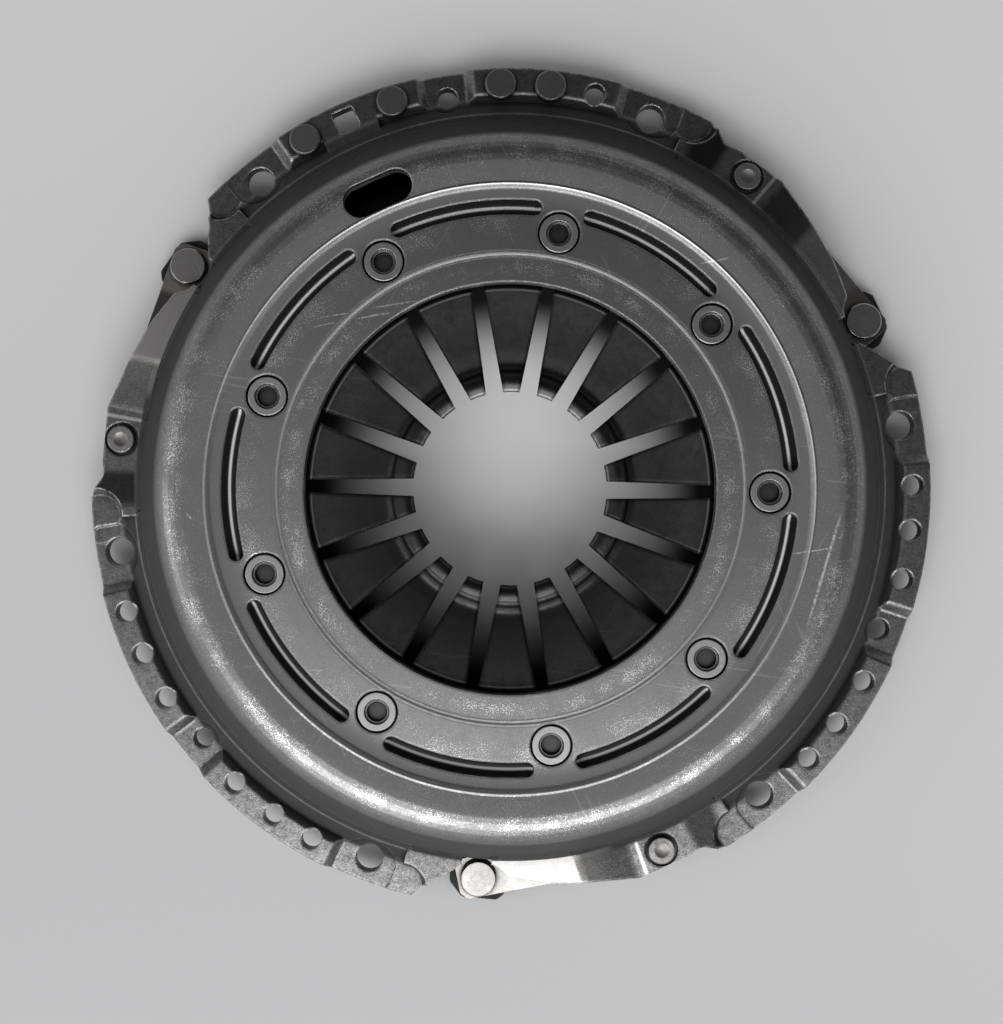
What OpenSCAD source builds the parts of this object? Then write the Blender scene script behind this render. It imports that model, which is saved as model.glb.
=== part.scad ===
// Clutch pressure plate for a car: a pressed steel cover carries a diaphragm
// spring between two fulcrums, and the spring loads a cast iron plate that hangs
// on three packs of drive straps.
// The origin is the clutch axis on the mounting plane, +Z towards the gearbox.
// The first mounting hole lies on +X. Millimetres and degrees.

/* [Mounting] */
// Pitch circle of the mounting and dowel holes
bolt_pcd = 254; // [252:0.5:256]
// Bore of a mounting hole
bolt_d = 9; // [8:0.1:9.6]
// Bore of a dowel hole
dowel_d = 6.5; // [5.5:0.1:7.5]
// How far the flange reaches beyond the pitch circle
flange_reach = 7.4; // [7:0.1:8.4]

/* [Cover] */
// Thickness of the cover sheet
sheet_t = 4.5; // [4:0.1:4.8]
// Height of the flat crown ring above the mounting plane
crown_z = 34.5; // [33.5:0.5:38]
// Ring of crown between the opening and the fulcrum
crown_w = 22.3; // [21.9:0.1:23]
// Width of the lip round the opening
lip_w = 8.5; // [7.5:0.1:9]
// How far the lip lies below the crown
lip_drop = 1; // [0.4:0.1:1.4]
// How far the bright step lies outside the fulcrum
ridge_gap = 6.5; // [6.2:0.1:7.4]
// Height of that step
ridge_h = 0.8; // [0.3:0.1:1.2]
// Radius of the rounded shoulder
shoulder_bend = 16; // [10:0.5:18]
// How far the foot of the wall lies inside the mounting holes
foot_gap = 9.4; // [8.6:0.1:9.8]
// Height of the foot of the wall
foot_z = 9.5; // [9:0.1:10.5]

/* [Flange] */
// How far the balance strips stand above the bolt pads
strip_rise = 2.8; // [2:0.1:3.4]
// How far the balance holes lie outside the mounting holes
balance_gap = 1.8; // [1.2:0.1:2.2]
// Bore of a balance hole
balance_d = 6.5; // [5.5:0.1:6.8]
// Side of the square hole
square_w = 7; // [6:0.1:7.4]
// Radius of the coined spot round a mounting hole
pad_r = 9.4; // [8.8:0.1:9.8]
// Radius of the rounded flange end beyond a mounting hole
lobe_r = 7.2; // [6.8:0.1:7.6]
// Radius of the hollow between the wall and a strap ledge
hollow_r = 2.6; // [1.5:0.1:3]

/* [Beads and window] */
// How far the fulcrum lies inside the mounting holes
fulcrum_gap = 42.7; // [42.2:0.1:43.2]
// Width of a bead groove
bead_w = 4.5; // [3.6:0.1:5]
// Depth of a bead groove
bead_depth = 4.2; // [3.4:0.1:4.6]
// Half the angle that a bead groove covers
bead_half = 14.2; // [12.5:0.1:14.6]
// Length of the oval window
window_l = 21.7; // [16:0.1:24]
// Width of the oval window
window_w = 10.2; // [8:0.1:11]
// How far the middle of the window lies outside the bright step
window_gap = 6; // [5.6:0.1:7]

/* [Diaphragm spring] */
// Thickness of the spring
spring_t = 2.8; // [2.4:0.1:3.2]
// Clearance between the spring's rim and the foot of the wall, measured level
spring_gap = 13.1; // [12.8:0.1:15]
// Diameter of the circle through the finger tips
tip_d = 58.4; // [54:0.2:64]
// How far the formed finger tips stand above the flat of the fingers
tip_rise = 2.6; // [1.5:0.1:3]
// Number of fingers, twice the number of spacer rivets
fingers = 18; // [18]
// Width of a slot at the finger tips
slot_tip_w = 5.3; // [4.4:0.1:5.6]
// Width of a slot at its root
slot_root_w = 3.1; // [2.6:0.1:3.6]
// Slope of the spring outside its fulcrum
cone_slope = 11; // [9:0.5:12]

/* [Spacer rivets] */
// How far the spacer rivets lie inside the fulcrum
rivet_gap = 6.5; // [6.2:0.1:6.8]
// Shank diameter of a spacer rivet
rivet_shank_d = 7.4; // [6.4:0.1:7.8]
// Diameter of the closed head in the crown
rivet_head_d = 12; // [11.6:0.1:12.4]
// Diameter of the lower head that carries the fulcrum ring
rivet_seat_d = 17.4; // [17:0.1:18]
// Wire diameter of the fulcrum ring
wire_d = 3.4; // [2.8:0.1:3.8]

/* [Pressure plate] */
// How far the friction face reaches beyond the foot of the cover's wall
face_reach = 2.4; // [1.4:0.1:2.6]
// Width of the ring-shaped friction face
face_w = 42; // [40:0.5:44]
// How far the friction face lies below the mounting plane
face_drop = 6; // [5.8:0.1:8]
// How far the ridge that the spring pushes on lies inside the spring's rim
seat_in = 3.5; // [3.2:0.1:4.4]
// Number of cooling gaps in that ridge
cooling_gaps = 18; // [12:1:24]
// Travel of the plate from rest to full release
lift_max = 5; // [1:0.1:5]

/* [Drive straps] */
// Thickness of one strap leaf
leaf_t = 0.7; // [0.5:0.05:0.7]
// Leaves in one strap pack
leaves = 3; // [3]
// Width of a strap at its middle
strap_w = 12.4; // [10:0.2:13]
// Height of the strap seat on the cover
seat_z = 5; // [4.8:0.1:5.4]
// Height that a strap drops towards its lug at rest
strap_drop = 4; // [3:0.1:4.4]
// Thickness of a lug
lug_t = 4.1; // [3:0.1:4.4]
// Shank diameter of a strap rivet
strap_rivet_d = 6.2; // [5:0.1:6.6]
// Head diameter of a strap rivet on a lug
lug_head_d = 11.6; // [10:0.1:12]
// Head diameter of a strap rivet on the cover
cover_head_d = 8.6; // [8:0.1:9]

/* [Hidden] */
// Drawing fineness
$fn = 96;
arc_step = 12;

// Clearances between pieces
touch = 0.1;
shank_gap = 0.1;
wire_gap = 0.08;

// Places round the clutch axis, counted from the first mounting hole
segment_angles = [90, 210, 330];
strap_angles = [30, 150, 270];
bolt_at = 30;
lobe_at = 35.6;
balance_at = [7.8, 14.9, 21.3];
balance_filled = [[1, 2], [1, 0], [-1, 0], [-1, 1]];
window_at = 105;
cover_rivet_at = 13.6;
lug_rivet_at = -13.8;
land_from = 9.3;
arm_flat_from = 1.2;
arm_end = -12;
rivet_count = fingers / 2;
rivet_step = 360 / rivet_count;
first_rivet = 30;

// Radii
bolt_r = bolt_pcd / 2;
flange_r = bolt_r + flange_reach;
balance_r = bolt_r + balance_gap;
foot_r = bolt_r - foot_gap;
fulcrum_r = bolt_r - fulcrum_gap;
opening_r = fulcrum_r - crown_w;
lip_r = opening_r + lip_w;
ridge_r = fulcrum_r + ridge_gap;
window_r = ridge_r + window_gap;
rivet_r = fulcrum_r - rivet_gap;
tip_r = tip_d / 2;
spring_r = foot_r - spring_gap;
face_r = foot_r + face_reach;
bore_r = face_r - face_w;
plate_ridge_r = spring_r - seat_in;
shoulder_r = foot_r - 12.2;
band_r = foot_r + 4.6;
valley_r = foot_r + 6.7;
past_r = flange_r + 3;
lobe_centre_r = flange_r - 2.6;
pad_centre_r = bolt_r + 2.6;
cover_rivet_r = flange_r - 10;
lug_rivet_r = flange_r - 8.1;

// Heights of the flange
strip_z = sheet_t + strip_rise;
spot_z = sheet_t + 0.05;
lobe_z = sheet_t + 0.5;
valley_z = sheet_t + 0.4;
land_z = seat_z + sheet_t;
arm_rise = 2.5;
arm_z = land_z + arm_rise;

// Heights of the spring and what carries it
bead_centre_z = crown_z - bead_depth + bead_w / 2;
crown_under_z = crown_z - sheet_t;
bead_under_z = crown_z - bead_depth - sheet_t;
spring_z = bead_under_z - touch;
spring_drop = spring_t / cos(cone_slope);
wire_z = spring_z - (spring_t + wire_d / 2) / cos(cone_slope) - wire_gap;
rivet_seat_z = wire_z - wire_d / 2;
rivet_seat_t = 2.4;
plate_ridge_z = spring_z - tan(cone_slope) * (plate_ridge_r - fulcrum_r) - spring_drop - touch;

// Heights of the straps
pack_t = leaves * leaf_t;
lug_z = seat_z - strap_drop - pack_t;
lug_head_h = 2.4;
cover_head_h = 1.9;
seat_head_d = lug_head_d - 2;
seat_head_h = 1.2;

// Plane geometry

function unit(v) = v / norm(v);
function left(v) = [-v.y, v.x];
function xy(p) = [p[0], p[1]];
function turned(v, w) = [v.x * cos(w) - v.y * sin(w), v.x * sin(w) + v.y * cos(w)];
function bend(a, b) = atan2(cross(a, b), a * b);
function polar(r, w) = [r * cos(w), r * sin(w)];
function reversed(list) = [for (i = [len(list) - 1:-1:0]) list[i]];

// The corner q between p and s, rounded to radius r as far as its legs allow
function corner(p, q, s, r) =
    let (a = unit(q - p), b = unit(s - q), w = bend(a, b))
    abs(w) < 1 || r <= 0 ? [q] :
    let (leg = min(norm(q - p), norm(s - q)) * 0.48,
         k = min(r * tan(abs(w) / 2), leg),
         e = k / tan(abs(w) / 2),
         start = left(a) * sign(w) * e,
         n = max(2, ceil(abs(w) / arc_step)))
    [for (i = [0:n]) q - a * k + start - turned(start, w * i / n)];

// An open line of [x, y, corner radius], with its corners rounded
function rounded(path) =
    let (m = len(path) - 1)
    [for (i = [0:m]) each i == 0 || i == m ? [xy(path[i])] :
        corner(xy(path[i - 1]), xy(path[i]), xy(path[i + 1]), path[i][2])];

// The same for a closed outline
function rounded_loop(path) =
    let (m = len(path))
    [for (i = [0:m - 1]) each
        corner(xy(path[(i + m - 1) % m]), xy(path[i]), xy(path[(i + 1) % m]), path[i][2])];

// The other face of a sheet of thickness t whose upper face follows path
function under(path, t) =
    let (m = len(path) - 1)
    [for (i = [0:m])
        let (i0 = max(i, 1), i1 = min(i + 1, m),
             a = unit(xy(path[i0]) - xy(path[i0 - 1])),
             b = unit(xy(path[i1]) - xy(path[i1 - 1])),
             n = unit(left(a) + left(b)),
             off = n * t / (n * left(a)))
        [path[i][0] - off.x, path[i][1] - off.y, path[i][2] + (bend(a, b) > 0 ? t : -t)]];

// The section of a bent sheet
function sheet(path, t) = concat(rounded(path), reversed(rounded(under(path, t))));

// A section turned through part of a circle
module arc_bar(from, to) {
    rotate(from) rotate_extrude(angle = to - from) children();
}

module block(r0, r1, z0, z1) {
    translate([r0, z0]) square([r1 - r0, z1 - z0]);
}

// Stands a section upright across the clutch, seen from outside, from r0 to r1
module across(r0, r1) {
    translate([r0, 0, 0]) rotate([90, 0, 90]) linear_extrude(r1 - r0) children();
}

// Cover

dome_path = [
    [opening_r, crown_z - lip_drop, 0],
    [lip_r - 0.6, crown_z - lip_drop, 1],
    [lip_r + 0.6, crown_z, 1],
    [ridge_r - 0.6, crown_z, 0.6],
    [ridge_r + 0.4, crown_z + ridge_h, 1],
    [shoulder_r, crown_z + 0.4, shoulder_bend],
    [foot_r, foot_z, 1.5],
    [foot_r + 0.6, foot_z - 0.6, 0]
];

// Section of the flared band between the wall and the flange
band_section = [
    [foot_r - 2.2, foot_z + 2, 0],
    [band_r, foot_z - 2.3, 2],
    [valley_r, valley_z, 0.6],
    [valley_r + 0.6, valley_z, 0],
    [valley_r + 0.6, 0.3, 0],
    [band_r, 0.3, 2],
    [band_r - 2.8, foot_z - 5.8, 4],
    [foot_r - 2.2, foot_z - 2.9, 0]
];

// Plan of the cover's edge from one strap to the next: [angle, distance inside the flange edge, radius]
edge_plan = [
    [-24.2, -4.4, 0],
    [-20.5, 7, 2],
    [-18.1, 11, 2],
    [-15.8, 15.2, 3],
    [-12.4, 15.6, 1],
    [-10.9, 14.8, 2],
    [-9.4, 11.6, 2.5],
    [-4, 9.2, 20],
    [2, 7.4, 20],
    [9.3, 4, 3],
    [16.9, 4.6, 10],
    [19, 5.3, 3],
    [24.2, -4.4, 0],
    [60, -60, 0]
];

function edge_corners() = [for (s = strap_angles, p = edge_plan)
    let (at = polar(flange_r - p[1], s + p[0])) [at.x, at.y, p[2]]];

module dome() {
    rotate_extrude() polygon(sheet(dome_path, sheet_t));
}

// A raised balance strip between two pads, with a soft ramp down at each end
module balance_strip(from, to) {
    ramp_l = 3.2;
    low = sheet_t - 0.15;
    difference() {
        arc_bar(from, to) polygon(rounded_loop([
            [valley_r - 0.4, strip_rise - 1.9, 0],
            [valley_r - 0.4, valley_z - 0.7, 0],
            [valley_r + 1.7, strip_z, 1.8],
            [past_r, strip_z, 0],
            [past_r, strip_rise, 0],
            [valley_r + 0.5, strip_rise, 0]
        ]));
        for (side = [[from, 1], [to, -1]]) rotate(side[0]) across(foot_r - 6, past_r + 2)
            polygon(concat(
                rounded([for (p = [[-3, low, 0], [0.4, low, 1.6], [ramp_l, strip_z - 0.08, 2.4],
                    [ramp_l + 3, strip_z + 0.4, 0]]) [side[1] * p[0], p[1], p[2]]]),
                [[side[1] * (ramp_l + 3), strip_z + 5], [-side[1] * 3, strip_z + 5]]
            ));
    }
}

// One of the three flange segments, centred on +X
module flange_segment() {
    arc_bar(-lobe_at, lobe_at) polygon(rounded_loop(band_section));
    for (pad = [[-lobe_at, -24.9], [-3.4, 3.4], [24.9, lobe_at]])
        arc_bar(pad[0], pad[1]) block(valley_r - 0.4, past_r, 0, sheet_t);
    for (side = [-1, 1]) {
        balance_strip(min(side * 2.6, side * 25.9), max(side * 2.6, side * 25.9));
        rotate(side * lobe_at) translate([lobe_centre_r, 0, 0]) cylinder(r = lobe_r + 2.2, h = lobe_z + 0.3);
    }
}

// Wider flat of the strip round the square hole
module square_land() {
    arc_bar(10.6, 19.2) block(valley_r - 2.2, balance_r, strip_rise + 0.8, strip_z);
}

// The ledge that holds a strap's rivet, its ramp and the arm over the strap, centred on +X
module strap_ledge() {
    ramp_l = bolt_r * sin(land_from - arm_flat_from);
    arm_l = foot_r / 2;
    arc_bar(-25, -16.5) block(foot_r - 1.4, past_r, seat_z, land_z);
    intersection() {
        arc_bar(arm_end, 25) block(foot_r - 1.9, past_r, 0, arm_z + 5);
        rotate(land_from) across(foot_r - arm_l, past_r + sheet_t) polygon([
            [50, seat_z],
            [50, land_z],
            [0, land_z],
            [-ramp_l, arm_z],
            [-arm_l, arm_z],
            [-arm_l, arm_z - sheet_t],
            [-ramp_l, arm_z - sheet_t],
            [0, seat_z]
        ]);
    }
}

module lobe_cut() {
    translate([lobe_centre_r, 0, lobe_z]) cylinder(r1 = lobe_r - 0.8, r2 = lobe_r + 2.4, h = 8);
}

// The hollow where the wall meets a strap ledge or its arm of height z
module hollow(from, to, z) {
    wall = atan((crown_z - foot_z) / (foot_r - shoulder_r));
    foot = foot_r - (z - foot_z) / tan(wall);
    arc_bar(from, to) polygon(concat(
        [[foot - 3, z - 1.4]],
        [for (w = [wall - 4:-arc_step:4]) [
            foot + hollow_r * (tan(wall / 2) - sin(w)) + 0.05,
            z + hollow_r * (1 - cos(w)) - 0.06
        ]],
        [[foot + hollow_r * tan(wall / 2) + 0.4, z - 0.3], [foot + 1, z - 1.4]]
    ));
}

module bead_groove() {
    arc_bar(-bead_half, bead_half) translate([fulcrum_r, bead_centre_z]) {
        circle(d = bead_w);
        translate([-bead_w / 2, 0]) square([bead_w, bead_depth]);
    }
    for (w = [-bead_half, bead_half]) rotate(w) translate([fulcrum_r, 0, bead_centre_z]) {
        sphere(d = bead_w);
        cylinder(d = bead_w, h = bead_depth);
    }
}

// The bead's underside, which the spring rocks on
module bead_swell() {
    swell_r = bead_w / 2 + 2.5;
    arc_bar(-bead_half, bead_half) intersection() {
        translate([fulcrum_r, bead_under_z + swell_r]) circle(swell_r);
        block(fulcrum_r - swell_r, fulcrum_r + swell_r, bead_under_z - 1, crown_under_z + 0.5);
    }
}

module window_cut() {
    half = (window_l - window_w) / 2;
    rotate(window_at) translate([window_r, 0, crown_z - 12]) {
        for (y = [-half, half]) translate([0, y, 0]) cylinder(d = window_w, h = 20);
        translate([-window_w / 2, -half, 0]) cube([window_w, 2 * half, 20]);
    }
}

module square_cut() {
    r = 1;
    w = square_w;
    translate([balance_r, 0, -1]) {
        translate([-w / 2, r - w / 2, 0]) cube([w, w - 2 * r, 12]);
        translate([r - w / 2, -w / 2, 0]) cube([w - 2 * r, w, 12]);
        for (x = [-1, 1], y = [-1, 1]) translate([x * (w / 2 - r), y * (w / 2 - r), 0]) cylinder(r = r, h = 12);
    }
}

// The coined spot round a mounting hole, ended by a line before the lobe on one side
module pad_cut(side) {
    to_lobe = 8.9;
    translate([0, 0, spot_z]) linear_extrude(8) intersection() {
        translate([pad_centre_r, 0]) circle(pad_r);
        translate([bolt_r - 20, side * to_lobe - (side > 0 ? 30 : 0)]) square([40, 30]);
    }
    translate([bolt_r, 0, -1]) cylinder(d = bolt_d, h = sheet_t + 2);
}

module dowel_cut() {
    pad_w = dowel_d + 4.5;
    translate([bolt_r, 0, spot_z]) cylinder(d = pad_w, h = 8);
    translate([bolt_r, -pad_w / 2, spot_z]) cube([12, pad_w, 8]);
    translate([bolt_r, 0, -1]) cylinder(d = dowel_d, h = sheet_t + 2);
}

module rivet_pocket() {
    translate([rivet_r, 0, 0]) {
        translate([0, 0, crown_z - 2.2]) cylinder(d = rivet_head_d + 0.8, h = 4);
        translate([0, 0, crown_under_z - 1]) cylinder(d = rivet_shank_d + 2 * shank_gap, h = sheet_t);
    }
}

module strap_seat_cut() {
    rotate(cover_rivet_at) translate([cover_rivet_r, 0, 0]) {
        cylinder(d = strap_rivet_d + 2 * shank_gap, h = 20);
        translate([0, 0, land_z - 0.6]) cylinder(d = cover_head_d + 2, h = 8);
    }
}

module balance_cut(segment) {
    for (side = [-1, 1], k = [0:2]) rotate(side * balance_at[k])
        if (segment == 0 && side == 1 && k == 1) square_cut();
        else translate([balance_r, 0, -1]) cylinder(d = balance_d, h = strip_z + 2);
}

module cover() {
    color("#8f9092") difference() {
        intersection() {
            union() {
                dome();
                for (w = segment_angles) rotate(w) flange_segment();
                for (w = strap_angles) rotate(w) {
                    strap_ledge();
                    hollow(arm_end + 1, arm_flat_from - 1, arm_z);
                    hollow(land_from + 1, 24, land_z);
                }
                rotate(segment_angles[0]) square_land();
                for (i = [0:rivet_count - 1]) rotate(first_rivet + rivet_step * (i + 0.5)) bead_swell();
            }
            translate([0, 0, -1]) intersection() {
                linear_extrude(crown_z + 4) polygon(rounded_loop(edge_corners()));
                cylinder(r = flange_r, h = crown_z + 4, $fn = 180);
            }
        }
        for (w = segment_angles) rotate(w) {
            dowel_cut();
            for (side = [-1, 1]) {
                rotate(side * bolt_at) pad_cut(side);
                rotate(side * lobe_at) lobe_cut();
            }
        }
        for (i = [0:2]) rotate(segment_angles[i]) balance_cut(i);
        for (w = strap_angles) rotate(w) strap_seat_cut();
        for (i = [0:rivet_count - 1]) rotate(first_rivet + rivet_step * i) {
            rivet_pocket();
            rotate(rivet_step / 2) bead_groove();
        }
        window_cut();
    }
}

// Diaphragm spring

finger_z = spring_z + 3.4;
bent_at = fulcrum_r - 22;
spring_path = [
    [tip_r, finger_z + tip_rise - 0.9, 0],
    [tip_r + 2.6, finger_z + tip_rise, 3],
    [tip_r + 5.8, finger_z + tip_rise - 0.5, 2],
    [tip_r + 8.4, finger_z, 2.2],
    [tip_r + 13, finger_z, 4],
    [bent_at, spring_z + 2.7, 30],
    [fulcrum_r, spring_z, 60],
    [spring_r, spring_z - tan(cone_slope) * (spring_r - fulcrum_r), 0]
];

// One slot with the window at its root, on +X
module spring_slot() {
    window = rivet_shank_d + 2.2;
    from = tip_r - 2;
    translate([0, 0, spring_z - 12]) linear_extrude(24) polygon([
        [from, -slot_tip_w / 2],
        [from, slot_tip_w / 2],
        [rivet_r, slot_root_w / 2],
        [rivet_r, -slot_root_w / 2]
    ]);
    translate([0, 0, spring_z - 12]) {
        for (r = [rivet_r - 3.4, rivet_r]) translate([r, 0, 0]) cylinder(d = window, h = 24);
        translate([rivet_r - 3.4, -window / 2, 0]) cube([3.4, window, 24]);
    }
}

module diaphragm_spring() {
    color("#5b5a58") difference() {
        rotate_extrude() polygon(sheet(spring_path, spring_t));
        for (i = [0:fingers - 1]) rotate(first_rivet + 360 / fingers * i) spring_slot();
    }
}

module fulcrum_ring() {
    color("#6e6e70") rotate_extrude() translate([fulcrum_r, wire_z]) circle(d = wire_d, $fn = 32);
}

// A spacer rivet: seat under the spring, shank, and closed head sunk in the crown
module spacer_rivet(i) {
    top = crown_z - 0.1;
    head_z = crown_z - 2.2;
    rim = 0.35;
    color("#77787a") rotate(first_rivet + rivet_step * (i - 1)) translate([rivet_r, 0, 0])
        difference() {
            union() {
                translate([0, 0, rivet_seat_z - rivet_seat_t]) cylinder(d = rivet_seat_d, h = rivet_seat_t);
                translate([0, 0, rivet_seat_z - 0.5]) cylinder(d = rivet_shank_d, h = top - rivet_seat_z);
                translate([0, 0, head_z]) cylinder(d = rivet_head_d, h = top - head_z - rim);
                translate([0, 0, top - rim]) cylinder(d1 = rivet_head_d, d2 = rivet_head_d - 2 * rim, h = rim);
            }
            translate([0, 0, top - 0.8]) cylinder(r1 = 3.5, r2 = 3.95, h = 1);
            translate([0, 0, top - 2.6]) cylinder(r1 = 2.8, r2 = 3.1, h = 2);
        }
}

// Pressure plate

rim_path = [
    [bore_r, -face_drop, 0],
    [face_r - 0.6, -face_drop, 0],
    [face_r, -face_drop + 0.6, 0],
    [face_r, -face_drop + 2.4, 0],
    [face_r - 0.8, -face_drop + 3.2, 1],
    [face_r - 7, -face_drop + 7, 3],
    [plate_ridge_r + 3, 9, 3],
    [plate_ridge_r + 2.2, plate_ridge_z - 2.2 * tan(cone_slope), 1.2],
    [plate_ridge_r - 2.2, plate_ridge_z, 1.6],
    [plate_ridge_r - 4, 8, 3],
    [bore_r + 8, 7.4, 2],
    [bore_r, 4.4, 1]
];

module lug() {
    rim = flange_r - 0.4;
    half_w = 8.8;
    at = lug_rivet_r;
    rotate(lug_rivet_at) translate([0, 0, lug_z - lug_t]) linear_extrude(lug_t) polygon(rounded_loop([
        [face_r - 12, -half_w - 2.4, 0],
        [at - 1, -half_w - 0.6, 3],
        [at + 2.5, -half_w - 0.5, 2],
        [rim - 0.3, -half_w + 3.8, 2],
        [rim - 0.2, half_w - 2.4, 1.5],
        [rim - 2.3, half_w, 1.5],
        [face_r - 12, half_w + 1.4, 0]
    ]));
}

module pressure_plate() {
    gap_w = 7;
    floor_z = plate_ridge_z - 5.4;
    scallop_z = seat_z - pack_t - seat_head_h - lift_max - 0.6;
    color("#3a3a3c") difference() {
        union() {
            rotate_extrude() polygon(rounded_loop(rim_path));
            for (w = strap_angles) rotate(w) lug();
        }
        for (i = [0:cooling_gaps - 1]) rotate(360 / cooling_gaps * (i + 0.5))
            translate([plate_ridge_r - 8, -gap_w / 2, floor_z]) cube([16, gap_w, 12]);
        for (w = strap_angles) rotate(w + cover_rivet_at) translate([cover_rivet_r, 0, scallop_z])
            cylinder(d = seat_head_d + 1.6, h = 20);
        for (w = strap_angles) rotate(w + lug_rivet_at) translate([lug_rivet_r, 0, 0]) {
            translate([0, 0, lug_z - lug_t - 1]) cylinder(d = strap_rivet_d + 2 * shank_gap, h = lug_t + 2);
            translate([0, 0, lug_z - lug_t - 0.01])
                cylinder(r1 = strap_rivet_d / 2 + 2.1, r2 = strap_rivet_d / 2 + shank_gap, h = 1.8);
        }
    }
}

// Drive straps

strap_low = polar(lug_rivet_r, lug_rivet_at);
strap_high = polar(cover_rivet_r, cover_rivet_at);
strap_mid = (strap_low + strap_high) / 2;
strap_half = norm(strap_high - strap_low) / 2;
strap_tilt = atan2(strap_high.y - strap_low.y, strap_high.x - strap_low.x);

// Plan of a leaf: lug end at -x, cover end at +x, +y towards the clutch axis
module leaf_plan() {
    w = strap_w / 2;
    difference() {
        polygon(rounded_loop([
            [-strap_half - 6.9, w - 1.8, 2],
            [-strap_half - 4.8, w + 0.6, 2],
            [-strap_half + 5, w + 1, 3],
            [-strap_half + 16, w, 12],
            [strap_half + 3, w, 3],
            [strap_half + 6.4, 0.5 * w, 3],
            [strap_half + 6.4, -0.5 * w, 3],
            [strap_half + 3, -w + 0.6, 3],
            [-strap_half + 7, -w - 0.2, 12],
            [-strap_half - 4.4, -w - 0.2, 2],
            [-strap_half - 6.8, -w + 2, 2]
        ]));
        for (x = [-strap_half, strap_half]) translate([x, 0]) circle(d = strap_rivet_d + 2 * shank_gap);
    }
}

module strap_leaf(i, k) {
    low = lug_z + (k - 1) * leaf_t;
    high = low + strap_drop;
    flat_l = strap_half - 10;
    end = strap_half + 10;
    side = [[-end, low, 0], [-flat_l, low, 20], [flat_l, high, 20], [end, high, 0]];
    line = rounded(side);
    color("#a8a49a") rotate(strap_angles[i - 1]) translate([strap_mid.x, strap_mid.y, 0]) rotate(strap_tilt)
        intersection() {
            translate([0, 0, -20]) linear_extrude(60) leaf_plan();
            translate([0, 20, 0]) rotate([90, 0, 0]) linear_extrude(40)
                polygon(concat(line, [for (p = reversed(line)) p + [0, leaf_t]]));
        }
}

module strap_cover_rivet(i) {
    pack_under = seat_z - pack_t;
    color("#b9b7b2") rotate(strap_angles[i - 1] + cover_rivet_at) translate([cover_rivet_r, 0, 0])
        difference() {
            union() {
                translate([0, 0, pack_under - seat_head_h]) cylinder(d = seat_head_d, h = seat_head_h);
                translate([0, 0, pack_under - 0.5]) cylinder(d = strap_rivet_d, h = land_z - pack_under);
                translate([0, 0, land_z - 0.6]) cylinder(d = cover_head_d, h = cover_head_h - 0.3);
                translate([0, 0, land_z + cover_head_h - 0.9])
                    cylinder(d1 = cover_head_d, d2 = cover_head_d - 0.6, h = 0.3);
            }
            translate([0, 0, land_z + cover_head_h + 5.8]) sphere(r = 6.8);
        }
}

module strap_lug_rivet(i) {
    pack_top = lug_z + pack_t;
    foot = lug_z - lug_t;
    color("#b9b7b2") rotate(strap_angles[i - 1] + lug_rivet_at) translate([lug_rivet_r, 0, 0]) {
        translate([0, 0, foot]) cylinder(d = strap_rivet_d, h = pack_top - foot + 0.5);
        translate([0, 0, foot]) cylinder(r1 = strap_rivet_d / 2 + 1.9, r2 = strap_rivet_d / 2, h = 1.7);
        translate([0, 0, pack_top]) cylinder(d = lug_head_d, h = lug_head_h - 0.4);
        translate([0, 0, pack_top + lug_head_h - 0.4]) cylinder(d1 = lug_head_d, d2 = lug_head_d - 0.8, h = 0.4);
    }
}

// A balance weight riveted through a balance hole of the first segment
module balance_rivet(i) {
    side = balance_filled[i - 1][0];
    at = balance_at[balance_filled[i - 1][1]];
    color("#6a6a6c") rotate(segment_angles[0] + side * at) translate([balance_r, 0, 0]) {
        translate([0, 0, strip_rise - 1.4]) cylinder(d1 = balance_d, d2 = balance_d + 1.2, h = 1.4);
        translate([0, 0, strip_rise - 0.5]) cylinder(d = balance_d - 0.1, h = sheet_t + 1);
        translate([0, 0, strip_z]) cylinder(d = balance_d + 3.4, h = 2.1);
        translate([0, 0, strip_z + 2.1]) cylinder(d1 = balance_d + 3.4, d2 = balance_d + 2.4, h = 0.5);
    }
}

cover();
pressure_plate();
diaphragm_spring();
fulcrum_ring();
for (i = [1:rivet_count]) spacer_rivet(i);
for (i = [1:3], k = [1:leaves]) strap_leaf(i, k);
for (i = [1:3]) strap_cover_rivet(i);
for (i = [1:3]) strap_lug_rivet(i);
for (i = [1:4]) balance_rivet(i);
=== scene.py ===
# %% [markdown]
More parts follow.
